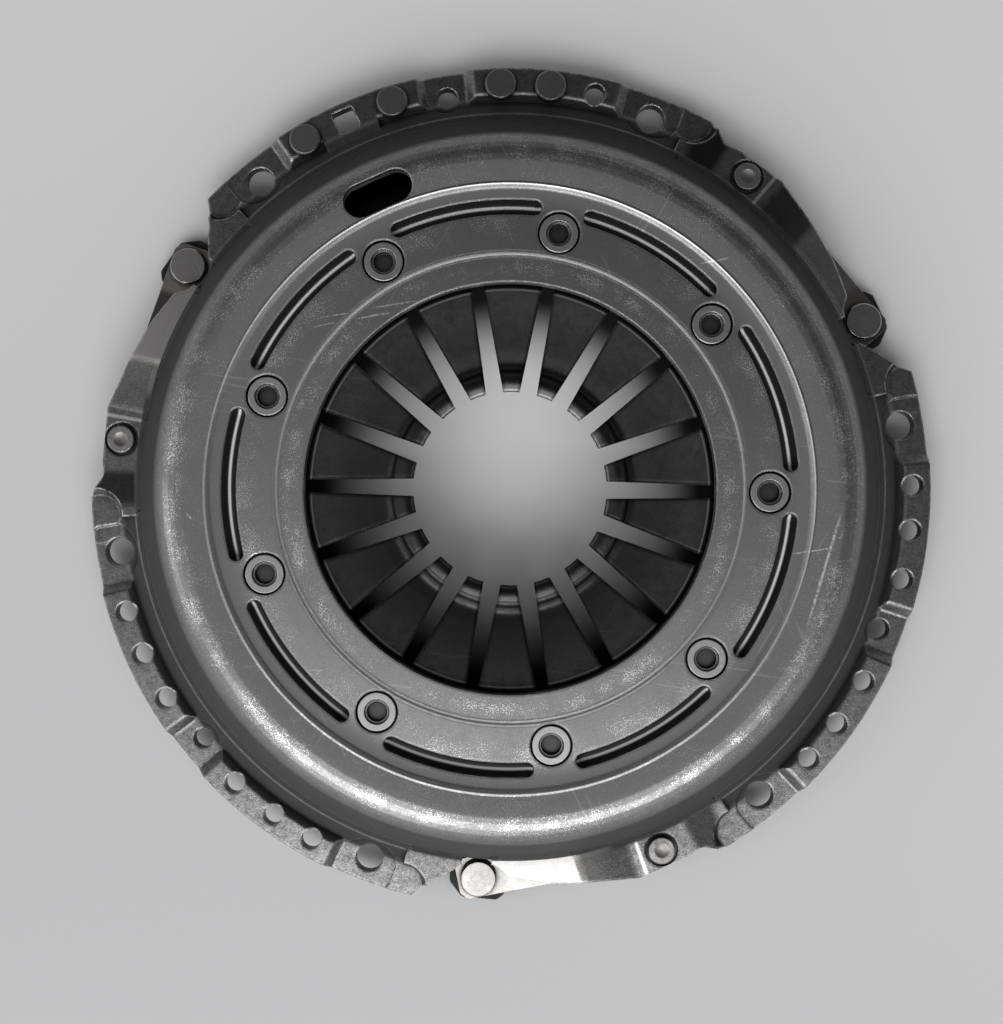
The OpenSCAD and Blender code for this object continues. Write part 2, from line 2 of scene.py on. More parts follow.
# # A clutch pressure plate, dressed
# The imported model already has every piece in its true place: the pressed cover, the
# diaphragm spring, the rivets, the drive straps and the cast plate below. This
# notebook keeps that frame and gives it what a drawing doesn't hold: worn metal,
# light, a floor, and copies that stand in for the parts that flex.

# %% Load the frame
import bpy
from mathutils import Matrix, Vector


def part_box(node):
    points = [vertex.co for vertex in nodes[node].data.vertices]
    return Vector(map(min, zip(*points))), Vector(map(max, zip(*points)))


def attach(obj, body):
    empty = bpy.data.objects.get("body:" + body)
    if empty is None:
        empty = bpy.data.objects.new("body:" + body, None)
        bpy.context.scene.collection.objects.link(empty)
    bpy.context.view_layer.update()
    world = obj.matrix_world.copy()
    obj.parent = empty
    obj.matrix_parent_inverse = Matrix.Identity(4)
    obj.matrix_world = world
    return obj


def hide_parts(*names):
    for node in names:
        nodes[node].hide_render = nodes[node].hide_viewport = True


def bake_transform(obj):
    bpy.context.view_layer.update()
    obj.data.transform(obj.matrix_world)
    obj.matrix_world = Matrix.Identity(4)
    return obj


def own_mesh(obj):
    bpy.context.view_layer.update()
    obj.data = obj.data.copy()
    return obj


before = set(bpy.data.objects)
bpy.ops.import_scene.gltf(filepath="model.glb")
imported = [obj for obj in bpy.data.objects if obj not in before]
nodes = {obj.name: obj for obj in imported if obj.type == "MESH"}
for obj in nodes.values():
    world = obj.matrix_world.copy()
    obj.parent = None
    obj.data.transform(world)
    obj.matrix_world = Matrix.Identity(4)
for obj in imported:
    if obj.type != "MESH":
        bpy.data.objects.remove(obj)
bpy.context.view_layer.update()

import math
import bpy
from mathutils import Vector

MM = 0.001

# %% [markdown]
# ## Camera
# The real picture is taken from straight above the clutch axis, from less than half
# a metre, so near things look larger than far ones. A camera that looks down -Z
# needs no aiming. A small turn about its own line of sight puts the mounting holes
# where they are seen, and a small shift moves the axis off the middle of the frame.
# Tilting the camera would move the axis too, but it would also squeeze the circles.

# %% The camera
TURN = 9.15
EYE_HEIGHT = 435 * MM
LONG_SIDE = 1024
SHIFT = (-8.5, -23.3)
camera_data = bpy.data.cameras.new("camera")
camera_data.lens = 47.07
camera_data.sensor_width = 36
camera_data.shift_x = SHIFT[0] / LONG_SIDE
camera_data.shift_y = SHIFT[1] / LONG_SIDE
camera_data.clip_start = 0.01
camera = bpy.data.objects.new("camera", camera_data)
camera.location = (0, 0, EYE_HEIGHT)
camera.rotation_euler = (0, 0, -math.radians(TURN))
bpy.context.scene.collection.objects.link(camera)
bpy.context.scene.camera = camera
bpy.context.scene.view_settings.view_transform = "Standard"
print("camera stands", EYE_HEIGHT, "m above the mounting plane")


# %% Directions as the viewer sees them
def seen(right, up, height=0.0):
    """A point given in metres to the viewer's right and upwards, and its height."""
    turn = -math.radians(TURN)
    x = right * math.cos(turn) - up * math.sin(turn)
    y = right * math.sin(turn) + up * math.cos(turn)
    return Vector((x, y, height))


print("the viewer's right is", [round(part, 3) for part in seen(1, 0)])

# %% [markdown]
# ## Light
# Bare metal shows what it mirrors. A flat top mirrors what hangs close round the
# camera, and a slope mirrors what stands further out. So a wide panel hangs over the
# viewer's side and lights the near flange and straps, a second one stands lower and
# draws the arc on the near shoulder, and a third gives the left flank its sheen. The
# far side has nothing bright to mirror, which is why it reads dark. Point lamps could
# be as bright, but bare metal would show each of them as a hard dot.


# %% A soft lamp aimed at the clutch
def soft_lamp(name, place, width, height, power):
    data = bpy.data.lights.new(name, "AREA")
    data.shape = "RECTANGLE"
    data.size = width
    data.size_y = height
    data.energy = power
    lamp = bpy.data.objects.new(name, data)
    lamp.location = place
    lamp.rotation_euler = (MIDDLE - place).to_track_quat("-Z", "Y").to_euler()
    bpy.context.scene.collection.objects.link(lamp)
    print("lamp", name, power, "W")


MIDDLE = Vector((0, 0, 20 * MM))
soft_lamp("panel_over", seen(-0.06, -0.70, 1.0), 1.3, 0.7, 9.4)
soft_lamp("panel_front", seen(-0.36, -0.90, 0.58), 0.9, 0.45, 1.9)
soft_lamp("panel_left", seen(-0.95, -0.15, 0.62), 0.4, 0.5, 1.0)

# %% [markdown]
# ## A small kit for shader nodes
# Metal finishes are built from the same few moves: sum two masks, squeeze a noise
# between two levels, mix two greys. The nodes could be joined by hand in the editor.
# A few helpers make each move one line instead, so the finishes below read like
# recipes and come out the same every time.


# %% Place a node
def put(tree, kind, inputs=None, **settings):
    """Adds a node. Inputs may be numbers, colours or other nodes' sockets."""
    node = tree.nodes.new(kind)
    for key, value in settings.items():
        setattr(node, key, value)
    for key, value in (inputs or {}).items():
        feed(tree, value, node.inputs[key])
    return node


def feed(tree, value, socket):
    """Joins another node's socket, or sets a number or a colour."""
    if isinstance(value, bpy.types.NodeSocket):
        tree.links.new(value, socket)
    else:
        socket.default_value = value


print("nodes can be placed")


# %% Sums, products and ranges
def calc(tree, operation, *values):
    inputs = {i: v for i, v in enumerate(values)}
    return put(tree, "ShaderNodeMath", inputs, operation=operation).outputs[0]


def times(tree, first, *others):
    for value in others:
        first = calc(tree, "MULTIPLY", first, value)
    return first


def between(tree, value, start, stop, first=0.0, last=1.0, curve="SMOOTHSTEP"):
    """From first to last as value goes from start to stop, with soft ends if smooth."""
    inputs = {"Value": value, "From Min": start, "From Max": stop, "To Min": first, "To Max": last}
    return put(tree, "ShaderNodeMapRange", inputs, interpolation_type=curve).outputs["Result"]


def span(tree, value, rise_start, rise_end, fall_start, fall_end):
    """One inside a range and nothing outside it, with soft ends."""
    return times(tree, between(tree, value, rise_start, rise_end),
                 between(tree, value, fall_end, fall_start))


print("numbers can be joined")


# %% Places and directions
def object_place(tree):
    return put(tree, "ShaderNodeTexCoord").outputs["Object"]


def vector_calc(tree, operation, first, second):
    node = put(tree, "ShaderNodeVectorMath", {0: first, 1: second}, operation=operation)
    return node.outputs["Value" if operation == "DOT_PRODUCT" else "Vector"]


def turned_about_z(tree, vector, angle):
    inputs = {"Vector": vector, "Angle": angle}
    return put(tree, "ShaderNodeVectorRotate", inputs, rotation_type="Z_AXIS").outputs[0]


def parts_of(tree, vector):
    return put(tree, "ShaderNodeSeparateXYZ", {0: vector}).outputs


print("places can be measured")


# %% Colours, clouds and shade
def blend_colour(tree, share, first, second):
    node = put(tree, "ShaderNodeMix", data_type="RGBA")
    for index, value in ((0, share), (6, first), (7, second)):
        feed(tree, value, node.inputs[index])
    return node.outputs[2]


def grey(level, warmth=0.0):
    """A grey as a colour, a little warm or a little cold."""
    return (level * (1 + warmth), level, level * (1 - warmth), 1)


def scaled(colour, factor):
    """The same colour, lighter or darker by a factor."""
    return tuple(min(1.0, part * factor) for part in colour[:3]) + (1,)


def cloud(tree, vector, scale, detail=3.0, roughness=0.5):
    inputs = {"Vector": vector, "Scale": scale, "Detail": detail, "Roughness": roughness}
    return put(tree, "ShaderNodeTexNoise", inputs).outputs["Fac"]


def openness(tree, reach):
    """One in the open and less in a corner, as far as the reach goes."""
    return put(tree, "ShaderNodeAmbientOcclusion", {"Distance": reach}, samples=6).outputs["AO"]


print("colours can be mixed")

# %% Shader groups
NUMBER = "NodeSocketFloat"
NORMAL = "NodeSocketVector"


def make_group(name, inputs, outputs):
    """An empty shader group with named number inputs and number or vector outputs."""
    group = bpy.data.node_groups.new(name, "ShaderNodeTree")
    for label, start in inputs:
        socket = group.interface.new_socket(label, in_out="INPUT", socket_type=NUMBER)
        socket.default_value = start
    for label, kind in outputs:
        group.interface.new_socket(label, in_out="OUTPUT", socket_type=kind)
    entry = group.nodes.new("NodeGroupInput")
    result = group.nodes.new("NodeGroupOutput")
    return group, entry.outputs, result.inputs


def hand_out(group, wanted, **values):
    """Joins each value to the group's output of that name."""
    for key, value in values.items():
        group.links.new(value, wanted[key])
    print("group", group.name, "gives", ", ".join(values))


def place_group(tree, name, **values):
    node = tree.nodes.new("ShaderNodeGroup")
    node.node_tree = bpy.data.node_groups[name]
    for key, value in values.items():
        feed(tree, value, node.inputs[key.replace("_", " ")])
    return node.outputs


print("groups can be made")

# %% [markdown]
# ## The room
# The world colour is what the metal mirrors where no lamp stands. It is dim over the
# far side, brighter over the viewer's, and has a pale band low round the horizon, as
# a room with light walls has. A picture of a room could do this too, but three greys
# are easier to tune and put no strange shapes into the metal.

# %% The world
DIM = 0.08
BRIGHT = 0.42
WALL_GLOW = 0.36
near_side = seen(-0.42, -0.91)
world = bpy.data.worlds.new("studio")
bpy.context.scene.world = world
world.use_nodes = True
sky = world.node_tree
ray = put(sky, "ShaderNodeTexCoord").outputs["Generated"]
toward = vector_calc(sky, "DOT_PRODUCT", ray, near_side)
overhead = between(sky, toward, -0.22, 0.12, DIM, BRIGHT)
horizon = between(sky, parts_of(sky, ray)[2], 0.75, 0.05, 0.0, WALL_GLOW)
background = sky.nodes["Background"]
background.inputs["Color"].default_value = (1.0, 0.99, 1.0, 1)
sky.links.new(calc(sky, "ADD", overhead, horizon), background.inputs["Strength"])
print("world from", DIM, "to", BRIGHT, "and", WALL_GLOW, "more at the horizon")

# %% [markdown]
# ## Worn edges, and painted shade in corners and on rims
# Handling rubs the outer edges of a pressing bright. Such wear could be painted on by
# hand, but it follows the shape, so the shape can place it. The Bevel node reads a
# normal as if every edge were rounded; where that normal leans away from the true
# one, there is an edge. Inner corners lean as well, but they lie in their own shade, so
# ambient occlusion tells the two apart. A short reach finds the foot of each step and a
# long one the hollows, and both are painted darker as shade. The open rim is also given
# on its own, to be painted dark as the shade of a rounded edge.

# %% Group: worn edges, painted shade in corners and dark rims
group, given, wanted = make_group(
    "worn_edges_and_shade",
    [("Width", 0.0004), ("Breakup", 400.0), ("Reach", 0.002), ("Far Reach", 0.012)],
    [("Edge", NUMBER), ("Rim", NUMBER), ("Corner", NUMBER), ("Hollow", NUMBER), ("Normal", NORMAL)],
)
true_normal = put(group, "ShaderNodeNewGeometry").outputs["Normal"]
rounded = put(group, "ShaderNodeBevel", {"Radius": given["Width"]}, samples=4).outputs[0]
lean = vector_calc(group, "DOT_PRODUCT", rounded, true_normal)
shade = openness(group, given["Reach"])
depth = openness(group, given["Far Reach"])
open_rim = times(group, between(group, lean, 0.997, 0.91), between(group, shade, 0.6, 0.85))
patches = between(group, cloud(group, object_place(group), given["Breakup"], 4.0, 0.6), 0.34, 0.56)
# The corner and hollow masks paint shade found by ambient occlusion, and the rim mask paints rims dark
# as shade.
hand_out(group, wanted, Edge=times(group, open_rim, patches), Rim=open_rim,
         Corner=between(group, shade, 0.92, 0.50), Hollow=between(group, depth, 0.95, 0.35),
         Normal=rounded)

# %% [markdown]
# ## Metal skin
# Under the wear a rolled and pressed sheet has three scales of unevenness: clouds
# as wide as a thumb, a mottle of small dents, and a fine grain. Modelled dents would
# take millions of faces and look no different from here. Noise at three sizes gives
# each its own output, and the two small ones together make the height that the bump
# uses.

# %% Group: metal skin
group, given, wanted = make_group(
    "metal_skin",
    [("Cloud Size", 60.0), ("Mottle Size", 500.0), ("Grain Size", 2000.0)],
    [("Cloud", NUMBER), ("Mottle", NUMBER), ("Grain", NUMBER), ("Height", NUMBER)],
)
place = object_place(group)
wide = cloud(group, place, given["Cloud Size"], 5.0, 0.6)
mottle = cloud(group, place, given["Mottle Size"], 3.0, 0.55)
fine = cloud(group, place, given["Grain Size"], 2.0, 0.5)
hand_out(group, wanted, Cloud=between(group, wide, 0.3, 0.7), Mottle=between(group, mottle, 0.34, 0.66),
         Grain=fine, Height=calc(group, "ADD", times(group, mottle, 0.5), times(group, fine, 0.5)))

# %% [markdown]
# ## Marks that follow the circle
# A turned or pressed ring is marked round its axis. Each such mark needs the
# distance from the axis, which is the length of the place vector without its
# height. A soft ring is a band in that distance, and a worn belt is such a band
# filled with fine bright dots where other covers have rubbed. The flange repeats every
# third of a turn, so the angle from 0 to 120 degrees finds the same spot three times.

# %% Group: distance, height and angle round the axis
THIRD = 120.0
group, given, wanted = make_group(
    "round_axis", [], [("Radius", NUMBER), ("Height", NUMBER), ("Angle", NUMBER)])
x, y, z = parts_of(group, object_place(group))
squares = calc(group, "ADD", times(group, x, x), times(group, y, y))
turn = times(group, calc(group, "ARCTAN2", y, x), 180 / math.pi)
hand_out(group, wanted, Radius=calc(group, "SQRT", squares), Height=z,
         Angle=calc(group, "FLOORED_MODULO", turn, THIRD))


# %% Group: a soft ring at one distance
def off_centre(tree, given):
    """How far a place lies off a ring's middle: one is the ring's half width."""
    off = calc(tree, "ABSOLUTE", calc(tree, "SUBTRACT", given["Radius"], given["Centre"]))
    return calc(tree, "DIVIDE", off, given["Half Width"])


group, given, wanted = make_group(
    "soft_ring", [("Radius", 0.0), ("Centre", 0.1), ("Half Width", 0.001)], [("Mask", NUMBER)])
hand_out(group, wanted, Mask=between(group, off_centre(group, given), 1.0, 0.15))

# %% Group: a belt of fine bright dots
group, given, wanted = make_group(
    "worn_belt",
    [("Radius", 0.0), ("Centre", 0.1), ("Half Width", 0.005), ("Density", 0.5), ("Dot Size", 2900.0)],
    [("Mask", NUMBER)],
)
place = object_place(group)
band = between(group, off_centre(group, given), 1.0, 0.0)
patches = between(group, cloud(group, place, 110.0, 4.0, 0.6), 0.32, 0.66)
crowd = times(group, band, patches, given["Density"])
dots = cloud(group, place, given["Dot Size"], 2.0, 0.65)
level = calc(group, "SUBTRACT", calc(group, "ADD", dots, times(group, crowd, 0.15)), 0.68)
dots = times(group, between(group, level, 0.0, 0.05), between(group, band, 0.0, 0.2))
hand_out(group, wanted, Mask=dots)

# %% [markdown]
# ## Scratches
# Fine hairs lie all over handled steel, in a few directions. Three stretched noises
# make such a mat. The longer scratches are single ones with a place of their own:
# a line is a thin box in turned coordinates, broken up along its length. They are
# only as deep as a hair is thick, so a change of colour shows them well enough.

# %% Group: a mat of hair scratches
HAIR_STRETCH = (0.05, 1.0, 0.3)
group, given, wanted = make_group(
    "hair_scratches", [("Density", 0.5), ("Spacing", 1100.0)], [("Mask", NUMBER)])
place = object_place(group)
lines = None
for step, angle in enumerate((17, 74, 131)):
    turned = turned_about_z(group, place, math.radians(angle))
    pulled = vector_calc(group, "MULTIPLY", turned, HAIR_STRETCH)
    moved = vector_calc(group, "ADD", pulled, (0, 0, step * 0.37))
    thread = between(group, cloud(group, moved, given["Spacing"], 1.0, 0.4), 0.68, 0.74)
    area = between(group, cloud(group, moved, 60.0, 2.0, 0.5), 0.50, 0.62)
    one = times(group, thread, area)
    lines = one if lines is None else calc(group, "MAXIMUM", lines, one)
hand_out(group, wanted, Mask=times(group, lines, given["Density"]))

# %% Group: one long scratch
group, given, wanted = make_group(
    "one_scratch",
    [("Start X", 0.0), ("Start Y", 0.0), ("Angle", 0.0), ("Length", 0.01), ("Half Width", 0.0003)],
    [("Mask", NUMBER)],
)
place = object_place(group)
start = put(group, "ShaderNodeCombineXYZ", {0: given["Start X"], 1: given["Start Y"]}).outputs[0]
moved = vector_calc(group, "SUBTRACT", place, start)
turned = turned_about_z(group, moved, calc(group, "MULTIPLY", given["Angle"], -1.0))
along, across = parts_of(group, turned)[:2]
wander = times(group, calc(group, "SUBTRACT", cloud(group, place, 300.0, 2.0), 0.5), 0.0006)
off = calc(group, "ABSOLUTE", calc(group, "ADD", across, wander))
width = between(group, calc(group, "DIVIDE", off, given["Half Width"]), 1.0, 0.3)
ends = span(group, calc(group, "DIVIDE", along, given["Length"]), 0.0, 0.2, 0.7, 1.0)
broken = between(group, cloud(group, place, 1500.0, 2.0, 0.6), 0.36, 0.52)
hand_out(group, wanted, Mask=times(group, width, ends, broken))

# %% [markdown]
# ## One recipe for worn metal and painted light
# All finishes here are the same metal at heart. They could be eight materials made
# one by one, but then every change to the wear would have to be made eight times. So
# one function lays them up in order: base grey, clouds, mottle, scratches, the marks
# of the piece itself, painted shade in hollows and corners, rubbed edges, dark rims,
# then a painted highlight line. Each material starts from the usual numbers and gives
# its own where it differs.

# %% The usual numbers
# Bright bare metal, for rubbed edges and for painted highlight lines.
BARE_AND_HIGHLIGHT = (0.90, 0.885, 0.86, 1)
USUAL = dict(metallic=1.0, specular=0.5, cloud_size=60.0, mottle_size=500.0, mottle=0.25, grain=0.3,
             scratches=0.3, bump=0.02, edge=0.3, edge_width=0.0004, rim=0.0, hollow=0.5)
# How strongly the shade of corners is painted dark.
CORNER_SHADE = 0.85
print("usual numbers:", len(USUAL))


# %% The base: clouds, mottle, grain and hairs
def lay_base(tree, dark, light, rough, own):
    skin = place_group(tree, "metal_skin", Cloud_Size=own["cloud_size"], Mottle_Size=own["mottle_size"])
    lines = place_group(tree, "hair_scratches", Density=own["scratches"])
    clouds = times(tree, skin["Cloud"], 1 - own["mottle"] - own["grain"])
    tone = calc(tree, "ADD", clouds, times(tree, skin["Mottle"], own["mottle"]))
    grain = times(tree, between(tree, skin["Grain"], 0.3, 0.7), own["grain"])
    tone = calc(tree, "ADD", tone, grain)
    colour = blend_colour(tree, tone, dark, light)
    return {
        "colour": blend_colour(tree, lines["Mask"], colour, scaled(light, 1.8)),
        "gloss": between(tree, tone, 0.0, 1.0, rough[1], rough[0]),
        "relief": times(tree, skin["Height"], own["bump"]),
        "metal": own["metallic"],
        "highlight_line": 0.0,
        "rub_and_highlight": 0.0,
        "axis": place_group(tree, "round_axis"),
    }


print("the base is ready")


# %% The wear and painted light: shaded hollows and corners, rubbed edges, dark rims and a highlight line
def lay_wear_and_painted_light(tree, look, edges, dark, own):
    # Rubbed edges are wear; on the flange the rub share adds a painted highlight.
    rubbed = times(tree, edges["Edge"], calc(tree, "ADD", look["rub_and_highlight"], own["edge"]))
    # Hollows, corners and rims are painted darker as shade, and the last layer is a painted highlight
    # line.
    layers = (
        (times(tree, edges["Hollow"], own["hollow"]), scaled(dark, 0.30)),
        (times(tree, edges["Corner"], CORNER_SHADE), scaled(dark, 0.10)),
        (rubbed, BARE_AND_HIGHLIGHT),
        (times(tree, edges["Rim"], own["rim"]), scaled(dark, 0.10)),
        (look["highlight_line"], BARE_AND_HIGHLIGHT),
    )
    for share, colour in layers:
        look["colour"] = blend_colour(tree, share, look["colour"], colour)
    look["gloss"] = calc(tree, "SUBTRACT", look["gloss"], times(tree, edges["Edge"], 0.1))


print("the wear is ready")


# %% The recipe
def worn_metal_and_painted_light(name, dark, light, rough, marks=None, **own):
    """One finish. The pair rough is its roughness where it is light and where it is dark."""
    own = {**USUAL, **own}
    material = bpy.data.materials.new(name)
    material.use_nodes = True
    tree = material.node_tree
    shader = tree.nodes["Principled BSDF"]
    look = lay_base(tree, dark, light, rough, own)
    edges = place_group(tree, "worn_edges_and_shade", Width=own["edge_width"])
    if marks:
        marks(tree, look)
    lay_wear_and_painted_light(tree, look, edges, dark, own)
    bent = put(tree, "ShaderNodeBump", {
        "Height": look["relief"], "Normal": edges["Normal"], "Strength": 1.0, "Distance": MM})
    shader.inputs["Specular IOR Level"].default_value = own["specular"]
    feed(tree, look["metal"], shader.inputs["Metallic"])
    feed(tree, look["colour"], shader.inputs["Base Color"])
    feed(tree, look["gloss"], shader.inputs["Roughness"])
    feed(tree, bent.outputs[0], shader.inputs["Normal"])
    print("material", name)
    return material


# %% [markdown]
# ## Marks
# A piece's own marks are masks: rings, ranges of distance or height. A mark may lay
# on a colour, change the gloss or add relief. These helpers take millimetres, so the
# numbers can be read off the piece.


# %% Three ways to add a mark
def paint(tree, look, mask, colour, share=1.0):
    """Lays a colour over the look where the mask is."""
    look["colour"] = blend_colour(tree, times(tree, mask, share), look["colour"], colour)


def smooth_down(tree, look, mask, amount):
    """Makes the look glossier where the mask is, or rougher with a negative amount."""
    look["gloss"] = calc(tree, "SUBTRACT", look["gloss"], times(tree, mask, amount))


def raise_up(tree, look, height):
    """Adds to the relief, in millimetres."""
    look["relief"] = calc(tree, "ADD", look["relief"], height)


print("marks can be added")


# %% Masks in millimetres
def ring_at(tree, look, centre, half_width):
    """A soft ring round the axis."""
    return place_group(tree, "soft_ring", Radius=look["axis"]["Radius"], Centre=centre * MM,
                       Half_Width=half_width * MM)["Mask"]


def radius_between(tree, look, start, stop, first=0.0, last=1.0, curve="SMOOTHSTEP"):
    """Changes with the distance from the axis."""
    return between(tree, look["axis"]["Radius"], start * MM, stop * MM, first, last, curve)


def level_between(tree, look, start, stop):
    """Changes with the height."""
    return between(tree, look["axis"]["Height"], start * MM, stop * MM)


def radius_span(tree, look, *four):
    return span(tree, look["axis"]["Radius"], *(value * MM for value in four))


def level_span(tree, look, *four):
    return span(tree, look["axis"]["Height"], *(value * MM for value in four))


print("masks can be measured")

# %% [markdown]
# ## The cover's finish
# Bare drawn steel, satin. Bright lines are painted as highlights on the burnished rim
# of the step outside the crown and on the riser of the lip, and a painted highlight line
# runs on the floor of each bead groove. Fine dots of wear lie in belts on the lip, the
# crown and the shoulder. The wall and the band outside its foot are painted dark as
# shade, and the flange is mottled from coining. All this could be painted on an
# unwrapped mesh. Masks that are measured off the axis and the mounting plane need no
# unwrapping and stay sharp close up.

# %% Where things lie on the cover, in millimetres
CROWN_Z = 34.5
OPENING_R = 62.0
LIP_R = 70.5
BEAD_R = 84.3
RIDGE_R = 90.8
SHOULDER_R = 105.4
FOOT_R = 117.6
FOOT_Z = 9.5
BAND_END = (FOOT_R + 6.5, FOOT_R + 8.6)
print("cover marks lie from", OPENING_R, "to", round(BAND_END[1], 1), "mm off the axis")


# %% Painted shade and a dull skin on the wall and round its foot
def wall_shade_and_dull_skin(tree, look):
    wall = times(tree, level_between(tree, look, CROWN_Z - 0.8, CROWN_Z - 7),
                 radius_between(tree, look, FOOT_R + 0.3, FOOT_R - 0.2))
    band = times(tree, radius_span(tree, look, FOOT_R - 0.4, FOOT_R + 0.1, *BAND_END),
                 level_between(tree, look, FOOT_Z - 0.3, FOOT_Z - 0.9))
    seam = times(tree, radius_span(tree, look, FOOT_R - 0.4, FOOT_R + 0.1, FOOT_R + 1.2, FOOT_R + 2.4),
                 level_between(tree, look, FOOT_Z + 1.1, FOOT_Z + 0.6))
    band = calc(tree, "MAXIMUM", band, seam)
    # The wall and the band round its foot are painted dark as shade, and their reflection is dulled.
    paint(tree, look, wall, grey(0.048), 0.9)
    paint(tree, look, band, grey(0.030), 0.9)
    dull = calc(tree, "MAXIMUM", times(tree, wall, 0.90), times(tree, band, 0.84))
    look["metal"] = calc(tree, "SUBTRACT", 1.0, dull)
    smooth_down(tree, look, dull, -0.10)


print("wall skin ready")


# %% Where the flange, its lands and its arms lie
def flange_masks(tree, look):
    low_ring = radius_between(tree, look, *BAND_END)
    lands = times(tree, radius_between(tree, look, FOOT_R + 1.2, FOOT_R + 2.0),
                  level_between(tree, look, FOOT_Z - 0.9, FOOT_Z - 0.3))
    arms = times(tree, level_span(tree, look, 10.4, 11.95, 12.3, 12.5),
                 radius_between(tree, look, FOOT_R - 0.1, FOOT_R + 0.3))
    return calc(tree, "MAXIMUM", low_ring, lands), lands, arms


print("flange masks ready")


# %% Coined metal, with patches and pits but no pits on the arms
def coined_skin(tree, look, flange, arms):
    place = object_place(tree)
    patches = between(tree, cloud(tree, place, 380.0, 5.0, 0.75), 0.38, 0.62)
    pits = between(tree, cloud(tree, place, 1700.0, 4.0, 0.7), 0.36, 0.64)
    coined = calc(tree, "ADD", times(tree, patches, 0.45), times(tree, pits, 0.55))
    paint(tree, look, flange, blend_colour(tree, coined, grey(0.07), grey(0.25)), 0.85)
    smooth_down(tree, look, flange, calc(tree, "ADD", 0.02, times(tree, coined, 0.10)))
    # The flange's rubbed edges are brighter: partly wear, partly a painted highlight of their rounded
    # edges.
    look["rub_and_highlight"] = times(tree, flange, 0.45)
    pitted = calc(tree, "SUBTRACT", flange, times(tree, flange, arms))
    raise_up(tree, look, times(tree, pitted, times(tree, pits, 0.010)))


print("coined skin ready")

# %% Arms over the straps, painted shade on their climbs and ramps and a painted highlight on their folds, in degrees of a third of a turn
SHINE = (0.86, 0.86, 0.85, 1)
CLIMB = (30.4, 31.4, 40.0, 40.6)
CLIMB_Z = (9.5, 9.8, 11.6, 11.95)
FOLD = (40.0, 40.3, 40.5, 40.8)
RAMP = (47.6, 49.0, 52.4, 54.2)


def arm_tone_and_painted_light(tree, look, lands, arms):
    paint(tree, look, arms, grey(0.46, 0.02), 0.9)
    smooth_down(tree, look, arms, 0.10)
    angle = look["axis"]["Angle"]
    # The climb up to each arm and the ramp beside it are painted dark as shade, and the fold is painted
    # as a highlight line.
    climb = times(tree, span(tree, angle, *CLIMB), level_span(tree, look, *CLIMB_Z))
    paint(tree, look, climb, grey(0.05), 0.68)
    paint(tree, look, times(tree, lands, span(tree, angle, *RAMP)), grey(0.02), 0.88)
    paint(tree, look, times(tree, lands, span(tree, angle, *FOLD)), SHINE, 0.6)


print("each ramp takes", round(RAMP[3] - RAMP[0], 1), "degrees")

# %% Painted highlight rings and belts of wear on the crown
# A ring is a painted highlight line on a burnished edge, given as (centre, half width, strength), and a
# belt of wear dots is (centre, half width, density).
HIGHLIGHT_RINGS = (
    (RIDGE_R + 0.1, 1.1, 0.10),
    (RIDGE_R + 0.5, 0.35, 0.60),
    (LIP_R - 0.2, 0.8, 0.12),
    (LIP_R - 0.3, 0.35, 0.40),
)
BELTS = (
    (101, 7.0, 1.1),
    (66.5, 5, 1.15),
    (80, 9, 1.0),
    (95, 6, 0.5),
)


def wear_belts_and_highlight_rings(tree, look):
    for centre, half_width, strength in HIGHLIGHT_RINGS:
        # Each ring paints a highlight line, and each belt lays dots of wear.
        paint(tree, look, ring_at(tree, look, centre, half_width), SHINE, strength)
    for centre, half_width, density in BELTS:
        dots = place_group(tree, "worn_belt", Radius=look["axis"]["Radius"], Centre=centre * MM,
                           Half_Width=half_width * MM, Density=density)["Mask"]
        paint(tree, look, dots, SHINE, 0.95)
        smooth_down(tree, look, dots, 0.05)


print("rings", len(HIGHLIGHT_RINGS), "belts", len(BELTS))

# %% Single scratches, each from one spot of the picture to another
AXIS_AT = (510.0, 488.7)
CROWN_SCALE = 0.2965 * MM
SCRATCHES = (
    ((419, 298), (364, 307), 0.30),
    ((392, 310), (350, 317.5), 0.34),
    ((348, 311), (316, 316.5), 0.26),
    ((336, 320.5), (310, 325.5), 0.24),
    ((793, 555), (838, 548), 0.28),
    ((700, 262), (733, 256), 0.28),
    ((184, 513), (190, 520), 0.34),
    ((163, 460), (171, 452), 0.26),
    ((846, 505), (806, 640), 0.55),
)


def on_crown(spot):
    """The point of the crown that is seen at a spot of the picture."""
    return seen((spot[0] - AXIS_AT[0]) * CROWN_SCALE, (AXIS_AT[1] - spot[1]) * CROWN_SCALE)


def single_scratches(tree, look):
    for first, last, half_width in SCRATCHES:
        a = on_crown(first)
        b = on_crown(last)
        direction = math.atan2(b.y - a.y, b.x - a.x)
        line = place_group(tree, "one_scratch", Start_X=a.x, Start_Y=a.y, Angle=direction,
                           Length=(b - a).length, Half_Width=half_width * MM)["Mask"]
        paint(tree, look, line, SHINE, 0.7)


print("scratches with a place of their own:", len(SCRATCHES))


# %% Painted shade in the grooves, each with a painted highlight line on its floor
def groove_shade_and_highlight(tree, look):
    deep = level_between(tree, look, CROWN_Z - 0.4, CROWN_Z - 1.2)
    # The grooves are painted dark as shade.
    paint(tree, look, times(tree, deep, ring_at(tree, look, BEAD_R, 9)), grey(0.015), 0.9)
    # A painted highlight line on each groove's floor, less metallic so that it stays bright under any
    # light.
    bottom = level_between(tree, look, CROWN_Z - 2.4, CROWN_Z - 3.2)
    line = times(tree, bottom, ring_at(tree, look, BEAD_R + 0.45, 0.65))
    look["highlight_line"] = line
    look["metal"] = calc(tree, "SUBTRACT", look["metal"], times(tree, line, 0.6))
    smooth_down(tree, look, line, 0.12)


print("groove skin ready")

